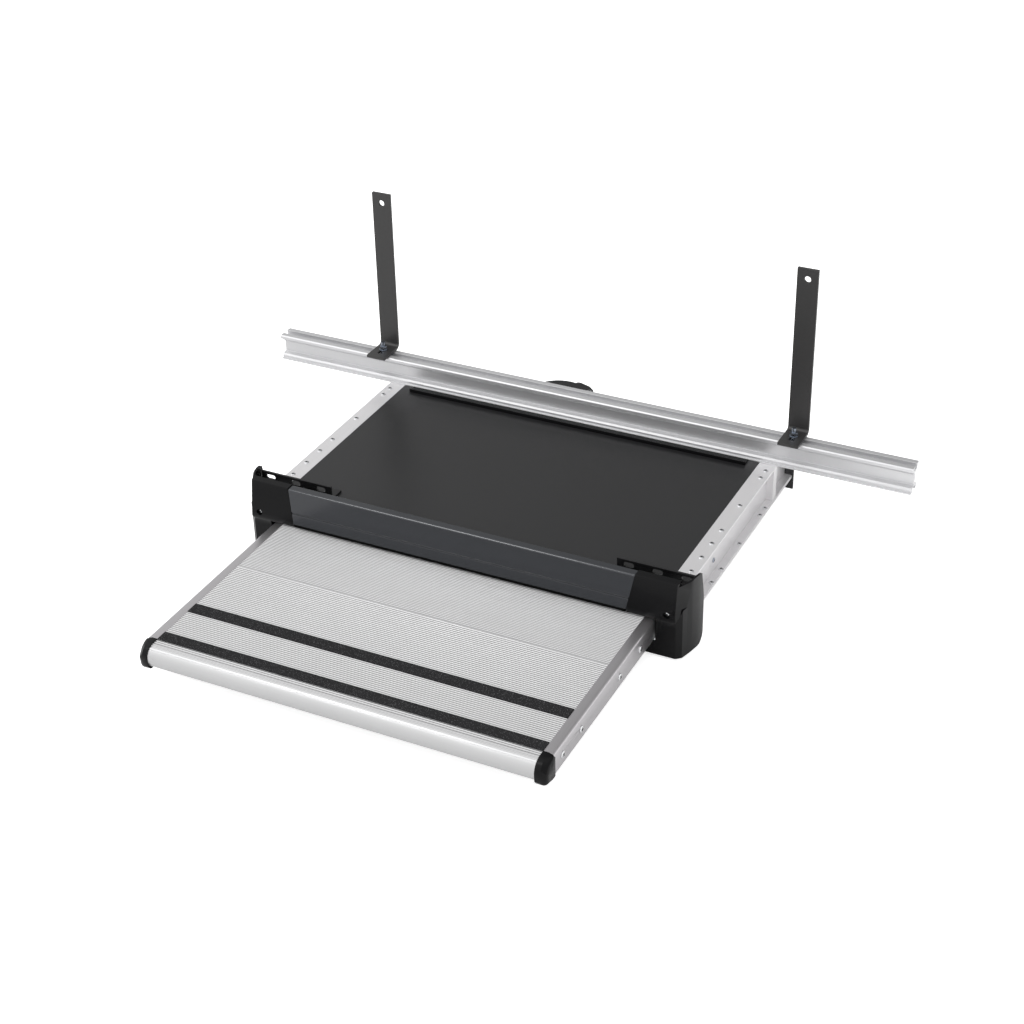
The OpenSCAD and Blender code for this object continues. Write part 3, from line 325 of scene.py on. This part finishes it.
# Welds, shades smooth and keeps edges over an angle sharp, as a modifier
def makeEdgeTree(name, isSmooth, settings):
    tree = bpy.data.node_groups.new(name, "GeometryNodeTree")
    tree.interface.new_socket(name="Geometry", in_out="INPUT", socket_type="NodeSocketGeometry")
    tree.interface.new_socket(name="Geometry", in_out="OUTPUT", socket_type="NodeSocketGeometry")
    enter, leave = tree.nodes.new("NodeGroupInput"), tree.nodes.new("NodeGroupOutput")
    bare = addNode(tree, "GeometryNodeRemoveAttribute", [(enter.outputs[0], "Geometry")],
        Name="custom_normal")
    weld = addNode(tree, "GeometryNodeMergeByDistance", [(bare.outputs[0], "Geometry")],
        Distance=settings["weld"] * mm)
    smooth = addNode(tree, "GeometryNodeSetShadeSmooth", [(weld.outputs[0], "Geometry")], domain="FACE")
    smooth.inputs["Shade Smooth"].default_value = isSmooth
    angle = tree.nodes.new("GeometryNodeInputMeshEdgeAngle")
    steep = addNode(tree, "FunctionNodeCompare", data_type="FLOAT", operation="GREATER_THAN")
    tree.links.new(angle.outputs["Unsigned Angle"], steep.inputs[0])
    steep.inputs[1].default_value = math.radians(settings["sharpAngle"])
    sharp = addNode(tree, "GeometryNodeSetShadeSmooth", [(smooth.outputs[0], "Geometry"),
        (steep.outputs[0], "Selection")], domain="EDGE")
    sharp.inputs["Shade Smooth"].default_value = False
    tree.links.new(sharp.outputs[0], leave.inputs[0])
    return tree


smoothTree = makeEdgeTree("smoothEdges", True, edgeSettings)
flatTree = makeEdgeTree("flatFaces", False, edgeSettings)
# Large flat sheets, where smooth shading would show their long triangles
flatNodes = ("top_panel", "rear_plate", "top_flange_left", "top_flange_right", "rear_clamp_strip")


def softenEdges(obj, width, settings):
    isFlat = obj.name in flatNodes
    obj.modifiers.new("smooth", "NODES").node_group = flatTree if isFlat else smoothTree
    if isFlat:
        merge = obj.modifiers.new("merge", "DECIMATE")
        merge.decimate_type = "DISSOLVE"
        merge.angle_limit = math.radians(settings["flatAngle"])
    if width:
        bevel = obj.modifiers.new("bevel", "BEVEL")
        bevel.limit_method = "ANGLE"
        bevel.angle_limit = math.radians(settings["bevelAngle"])
        bevel.width = width * mm
        bevel.segments = settings["segments"]
        bevel.harden_normals = not isFlat


# Bevels of single nodes, in millimetres
edgeWidth = {"end_cover_left": 1.4, "end_cover_right": 1.4, "fascia": 0.9, "beam": 0.4,
    "tread_rail_left": 0.4, "tread_rail_right": 0.4, "sill_bracket_left": 0.5,
    "sill_bracket_right": 0.5, "strap_left": 0.5, "strap_right": 0.5, "tread_plank_front": 0,
    "tread_plank_rear": 0, "main_gear": 0.1, "motor_pinion": 0.1, "nose_cap_left": 0,
    "nose_cap_right": 0, "gearbox_lid": 0.8, "gearbox_housing": 0.6, "motor": 0.8}


# Boxes of the separate solids of a node, as lowest and highest corners
def solidBoxes(obj):
    work = bmesh.new()
    work.from_mesh(obj.data)
    bmesh.ops.remove_doubles(work, verts=work.verts, dist=edgeSettings["weld"] * mm)
    left = set(work.verts)
    boxes = []
    while left:
        seed = left.pop()
        members, stack = [seed], [seed]
        while stack:
            for edge in stack.pop().link_edges:
                for vert in edge.verts:
                    if vert in left:
                        left.discard(vert)
                        members.append(vert)
                        stack.append(vert)
        boxes.append(([min(v.co[k] for v in members) for k in range(3)],
            [max(v.co[k] for v in members) for k in range(3)]))
    work.free()
    return sorted(boxes)


def meshObject(name, work, look):
    mesh = bpy.data.meshes.new(name)
    work.to_mesh(mesh)
    work.free()
    obj = bpy.data.objects.new(name, mesh)
    scene.collection.objects.link(obj)
    paint(obj, look)
    return obj


# Turns a profile of (radius, height) pairs about the z axis
def lathe(work, profile, around):
    rings = [[work.verts.new((radius * math.cos(math.tau * k / around),
        radius * math.sin(math.tau * k / around), height)) for k in range(around)]
        for radius, height in profile]
    for low, high in zip(rings, rings[1:]):
        for k in range(around):
            after = (k + 1) % around
            work.faces.new([low[k], low[after], high[after], high[k]])
    work.faces.new(rings[0][::-1])
    work.faces.new(rings[-1])


# The cross recess, as shares of the head's radius (width), its height (above, floor) or the slot's
# size at the top (taper), and the angle in degrees by which it is turned
recessSettings = {"width": 0.42, "above": 1.2, "floor": 0.28, "taper": 0.55, "turn": 20}
# The head's outline: shares of its radius (foot, crown), of its plain rim's height (chamfer), and
# the number of its steps and sides
headSettings = {"foot": 0.97, "crown": 0.14, "chamfer": 0.3, "steps": 6, "around": 28}


# Adds a tapered wedge, wide at the top, that cuts one slot of a cross recess
def addWedge(work, length, width, top, bottom, taper, angle):
    turn = Matrix.Rotation(angle, 3, "Z")
    corners = []
    for z, shrink in ((bottom, taper), (top, 1.0)):
        for x, y in ((-1, -1), (1, -1), (1, 1), (-1, 1)):
            corners.append(work.verts.new(
                turn @ Vector((x * length / 2 * shrink, y * width / 2 * shrink, z))))
    for face in ((3, 2, 1, 0), (4, 5, 6, 7), (0, 1, 5, 4), (1, 2, 6, 5), (2, 3, 7, 6), (3, 0, 4, 7)):
        work.faces.new([corners[k] for k in face])


# A domed screw along z with its head's underside at 0 and its shank below
def makeScrewMesh(name, radius, shankLength, settings):
    height, shank = settings["head"] * mm, settings["shank"] * mm
    dome = settings["dome"]
    flat = height * (1 - dome)
    profile = [(shank, -shankLength), (shank, 0), (radius * headSettings["foot"], 0),
        (radius, flat * headSettings["chamfer"]), (radius, flat)]
    for k in range(1, headSettings["steps"]):
        angle = math.radians(90 * k / headSettings["steps"])
        profile.append((radius * math.cos(angle), flat + dome * height * math.sin(angle)))
    profile.append((radius * headSettings["crown"], height))
    work = bmesh.new()
    lathe(work, profile, headSettings["around"])
    bmesh.ops.recalc_face_normals(work, faces=work.faces)
    head = meshObject(name, work, "zinc")
    for angle in (0, math.pi / 2):
        work = bmesh.new()
        addWedge(work, radius * settings["recess"] * 2, radius * recessSettings["width"],
            height * recessSettings["above"], height * recessSettings["floor"], recessSettings["taper"],
            angle + math.radians(recessSettings["turn"]))
        bmesh.ops.recalc_face_normals(work, faces=work.faces)
        # The cutter's dark material passes to the cut faces as painted shade in the recess
        cutter = meshObject("cutter", work, "painted_recess_shade")
        cut = head.modifiers.new("cut", "BOOLEAN")
        cut.operation = "DIFFERENCE"
        cut.solver = "EXACT"
        cut.material_mode = "TRANSFER"
        cut.object = cutter
        bpy.context.view_layer.update()
        seen = head.evaluated_get(bpy.context.evaluated_depsgraph_get())
        shape = bpy.data.meshes.new_from_object(seen)
        head.modifiers.clear()
        head.data = shape
        bpy.data.objects.remove(cutter)
    shape = head.data
    bpy.data.objects.remove(head)
    return shape


# Heads point out along an axis, where "side" is away from the middle. The head's height and the
# shank's radius are in millimetres, the dome is a share of the height, and the recess of the radius
screws = {
    "rail_screws": dict(axis=0, out="side", head=2.0, shank=2.1, dome=0.55, recess=0.62),
    "guide_screws": dict(axis=0, out="side", head=1.6, shank=1.15, dome=0.6, recess=0.62,
        look="dark_zinc"),
    "flange_screws": dict(axis=2, out="up", head=1.6, shank=1.6, dome=0.5, recess=0.62),
    "fascia_screws": dict(axis=2, out="up", head=1.6, shank=2.1, dome=0.5, recess=0.6),
    "bracket_screws": dict(axis=2, out="up", head=2.0, shank=2.1, dome=0.5, recess=0.6),
    "cover_screws": dict(axis=1, out="front", head=2.7, shank=2.0, dome=0.5, recess=0.6),
    "plate_screws": dict(axis=1, out="back", head=2.2, shank=1.9, dome=0.5, recess=0.6),
    "lid_screws": dict(axis=2, out="up", head=1.4, shank=1.6, dome=0.3, recess=0.6),
}
# Radians by which each next screw of a node is turned about its axis
turnStep = 2.4


def makeScrews(name, settings):
    axis = settings["axis"]
    other = (axis + 1) % 3
    headHeight = settings["head"] * mm
    shapes = {}
    work = bmesh.new()
    for index, (low, high) in enumerate(solidBoxes(nodes[name])):
        centre = [(a + b) / 2 for a, b in zip(low, high)]
        sign = {"side": math.copysign(1, centre[0]), "up": 1, "front": -1, "back": 1}[settings["out"]]
        direction = Vector([sign if k == axis else 0 for k in range(3)])
        seat = Vector(centre)
        seat[axis] = (high[axis] if sign > 0 else low[axis]) - sign * headHeight
        turn = direction.to_track_quat("Z", "Y").to_matrix().to_4x4() \
            @ Matrix.Rotation(index * turnStep, 4, "Z")
        length = high[axis] - low[axis] - headHeight
        key = round(length, 5)
        if key not in shapes:
            shapes[key] = makeScrewMesh(name, (high[other] - low[other]) / 2, length, settings)
        copy = shapes[key].copy()
        copy.transform(Matrix.Translation(seat) @ turn)
        work.from_mesh(copy)
        bpy.data.meshes.remove(copy)
    piece = meshObject(name + ".heads", work, settings.get("look", "zinc"))
    # Second slot: the painted recess shade on the cut faces
    piece.data.materials.append(looks["painted_recess_shade"])
    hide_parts(name)
    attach(piece, bodyOf[name])
    softenEdges(piece, 0, edgeSettings)


for name, settings in screws.items():
    makeScrews(name, settings)
print("stage: screws done")

for name, obj in nodes.items():
    if name not in screws:
        softenEdges(obj, edgeWidth.get(name, edgeSettings["width"]), edgeSettings)
print("stage: edges softened")

# Angles in degrees and lengths in metres, but for the lens and the sensor
cameraSettings = {"azimuth": 26.89, "elevation": 31.65, "roll": -1.38, "distance": 2.59799,
    "aside": 0.02848, "above": -0.01730, "lens": 69.72, "sensor": 36, "reach": 50,
    "middle": (0, 100, 50)}


def placeCamera(settings):
    azimuth, elevation, roll = (math.radians(settings[key]) for key in ("azimuth", "elevation", "roll"))
    back = Vector((math.sin(azimuth) * math.cos(elevation), -math.cos(azimuth) * math.cos(elevation),
        math.sin(elevation)))
    right = Vector((math.cos(azimuth), math.sin(azimuth), 0))
    up = back.cross(right)
    across = right * math.cos(roll) + up * math.sin(roll)
    upward = -right * math.sin(roll) + up * math.cos(roll)
    place = step(*settings["middle"]) + back * settings["distance"] + across * settings["aside"] \
        + upward * settings["above"]
    data = bpy.data.cameras.new("camera")
    data.lens = settings["lens"]
    data.sensor_width = settings["sensor"]
    data.clip_end = settings["reach"]
    camera = bpy.data.objects.new("camera", data)
    turn = Matrix((across, upward, back)).transposed().to_4x4()
    camera.matrix_world = Matrix.Translation(place) @ turn
    scene.collection.objects.link(camera)
    scene.camera = camera


placeCamera(cameraSettings)

# Each glow of the studio: its middle, the cosines where it ends and is full, and its strength
worldSettings = {
    "base": 0.3,
    "glows": [((-0.25, -0.55, 0.8), 0.2, 0.8, 0.9), ((-0.95, 0.15, 0.3), 0.45, 0.95, 0.45),
        ((0.9, 0.1, 0.4), 0.5, 0.95, 0.45)],
}
# Glows of the floor: seen by the camera, and in reflections left and right of the tread's edge
stageSettings = {"floorDrop": 0.004, "floorSize": 30.0, "floorColor": 0.85, "cameraGlow": 0.72,
    "mirrorGlow": 0.05, "rightGlow": 0.6, "rightFrom": 0.28, "rightFull": 0.5}
lightSettings = {
    "key": dict(place=(-1.16, -1.5, 2.25), aim=(0, 0.05, 0), size=(0.7, 0.7), power=12),
}


def makeWorld(settings):
    world = bpy.data.worlds.new("world")
    world.use_nodes = True
    tree = world.node_tree
    back = tree.nodes["Background"]
    look = tree.nodes.new("ShaderNodeTexCoord")
    total = settings["base"]
    for middle, edge, full, strength in settings["glows"]:
        dot = addNode(tree, "ShaderNodeVectorMath", operation="DOT_PRODUCT")
        tree.links.new(look.outputs["Generated"], dot.inputs[0])
        dot.inputs[1].default_value = Vector(middle).normalized()
        total = mathNode(tree, "ADD", ramp(tree, dot.outputs["Value"], edge, full, 0.0, strength), total)
    path = tree.nodes.new("ShaderNodeLightPath")
    seen = path.outputs["Is Camera Ray"]
    dimmed = mathNode(tree, "MULTIPLY", total, mathNode(tree, "SUBTRACT", 1.0, seen))
    tree.links.new(mathNode(tree, "ADD", dimmed, seen), back.inputs["Strength"])
    back.inputs["Color"].default_value = (1, 1, 1, 1)
    scene.world = world


def makeFloor(settings):
    half = settings["floorSize"] / 2
    low = cadBox[0][2] - settings["floorDrop"]
    mesh = bpy.data.meshes.new("floor")
    mesh.from_pydata([(-half, -half, low), (half, -half, low), (half, half, low), (-half, half, low)],
        [], [(0, 1, 2, 3)])
    floor = bpy.data.objects.new("floor", mesh)
    scene.collection.objects.link(floor)
    material = bpy.data.materials.new("floor")
    material.use_nodes = True
    tree = material.node_tree
    tree.nodes.clear()
    output = tree.nodes.new("ShaderNodeOutputMaterial")
    tone = settings["floorColor"]
    diffuse = addNode(tree, "ShaderNodeBsdfDiffuse", Color=(tone, tone, tone, 1))
    glow = addNode(tree, "ShaderNodeEmission", Color=(1, 1, 1, 1))
    path = tree.nodes.new("ShaderNodeLightPath")
    place = tree.nodes.new("ShaderNodeTexCoord")
    axes = addNode(tree, "ShaderNodeSeparateXYZ", [(place.outputs["Object"], "Vector")])
    rightSide = ramp(tree, axes.outputs["X"], settings["rightFrom"], settings["rightFull"],
        settings["mirrorGlow"], settings["rightGlow"])
    strength = mathNode(tree, "ADD",
        mathNode(tree, "MULTIPLY", path.outputs["Is Camera Ray"], settings["cameraGlow"]),
        mathNode(tree, "MULTIPLY", path.outputs["Is Glossy Ray"], rightSide))
    tree.links.new(strength, glow.inputs["Strength"])
    mix = tree.nodes.new("ShaderNodeAddShader")
    tree.links.new(diffuse.outputs[0], mix.inputs[0])
    tree.links.new(glow.outputs[0], mix.inputs[1])
    # Seen from below, the floor lets the view through
    below = tree.nodes.new("ShaderNodeMixShader")
    tree.links.new(tree.nodes.new("ShaderNodeNewGeometry").outputs["Backfacing"], below.inputs[0])
    tree.links.new(mix.outputs[0], below.inputs[1])
    tree.links.new(tree.nodes.new("ShaderNodeBsdfTransparent").outputs[0], below.inputs[2])
    tree.links.new(below.outputs[0], output.inputs["Surface"])
    mesh.materials.append(material)


def addLight(name, settings):
    data = bpy.data.lights.new(name, "AREA")
    data.shape = "RECTANGLE"
    data.size, data.size_y = settings["size"]
    data.energy = settings["power"]
    lamp = bpy.data.objects.new(name, data)
    lamp.location = settings["place"]
    aim = Vector(settings["aim"]) - Vector(settings["place"])
    lamp.rotation_euler = aim.to_track_quat("-Z", "Y").to_euler()
    scene.collection.objects.link(lamp)


makeWorld(worldSettings)
makeFloor(stageSettings)
for name, settings in lightSettings.items():
    addLight(name, settings)
print("stage: camera, floor and lights done")
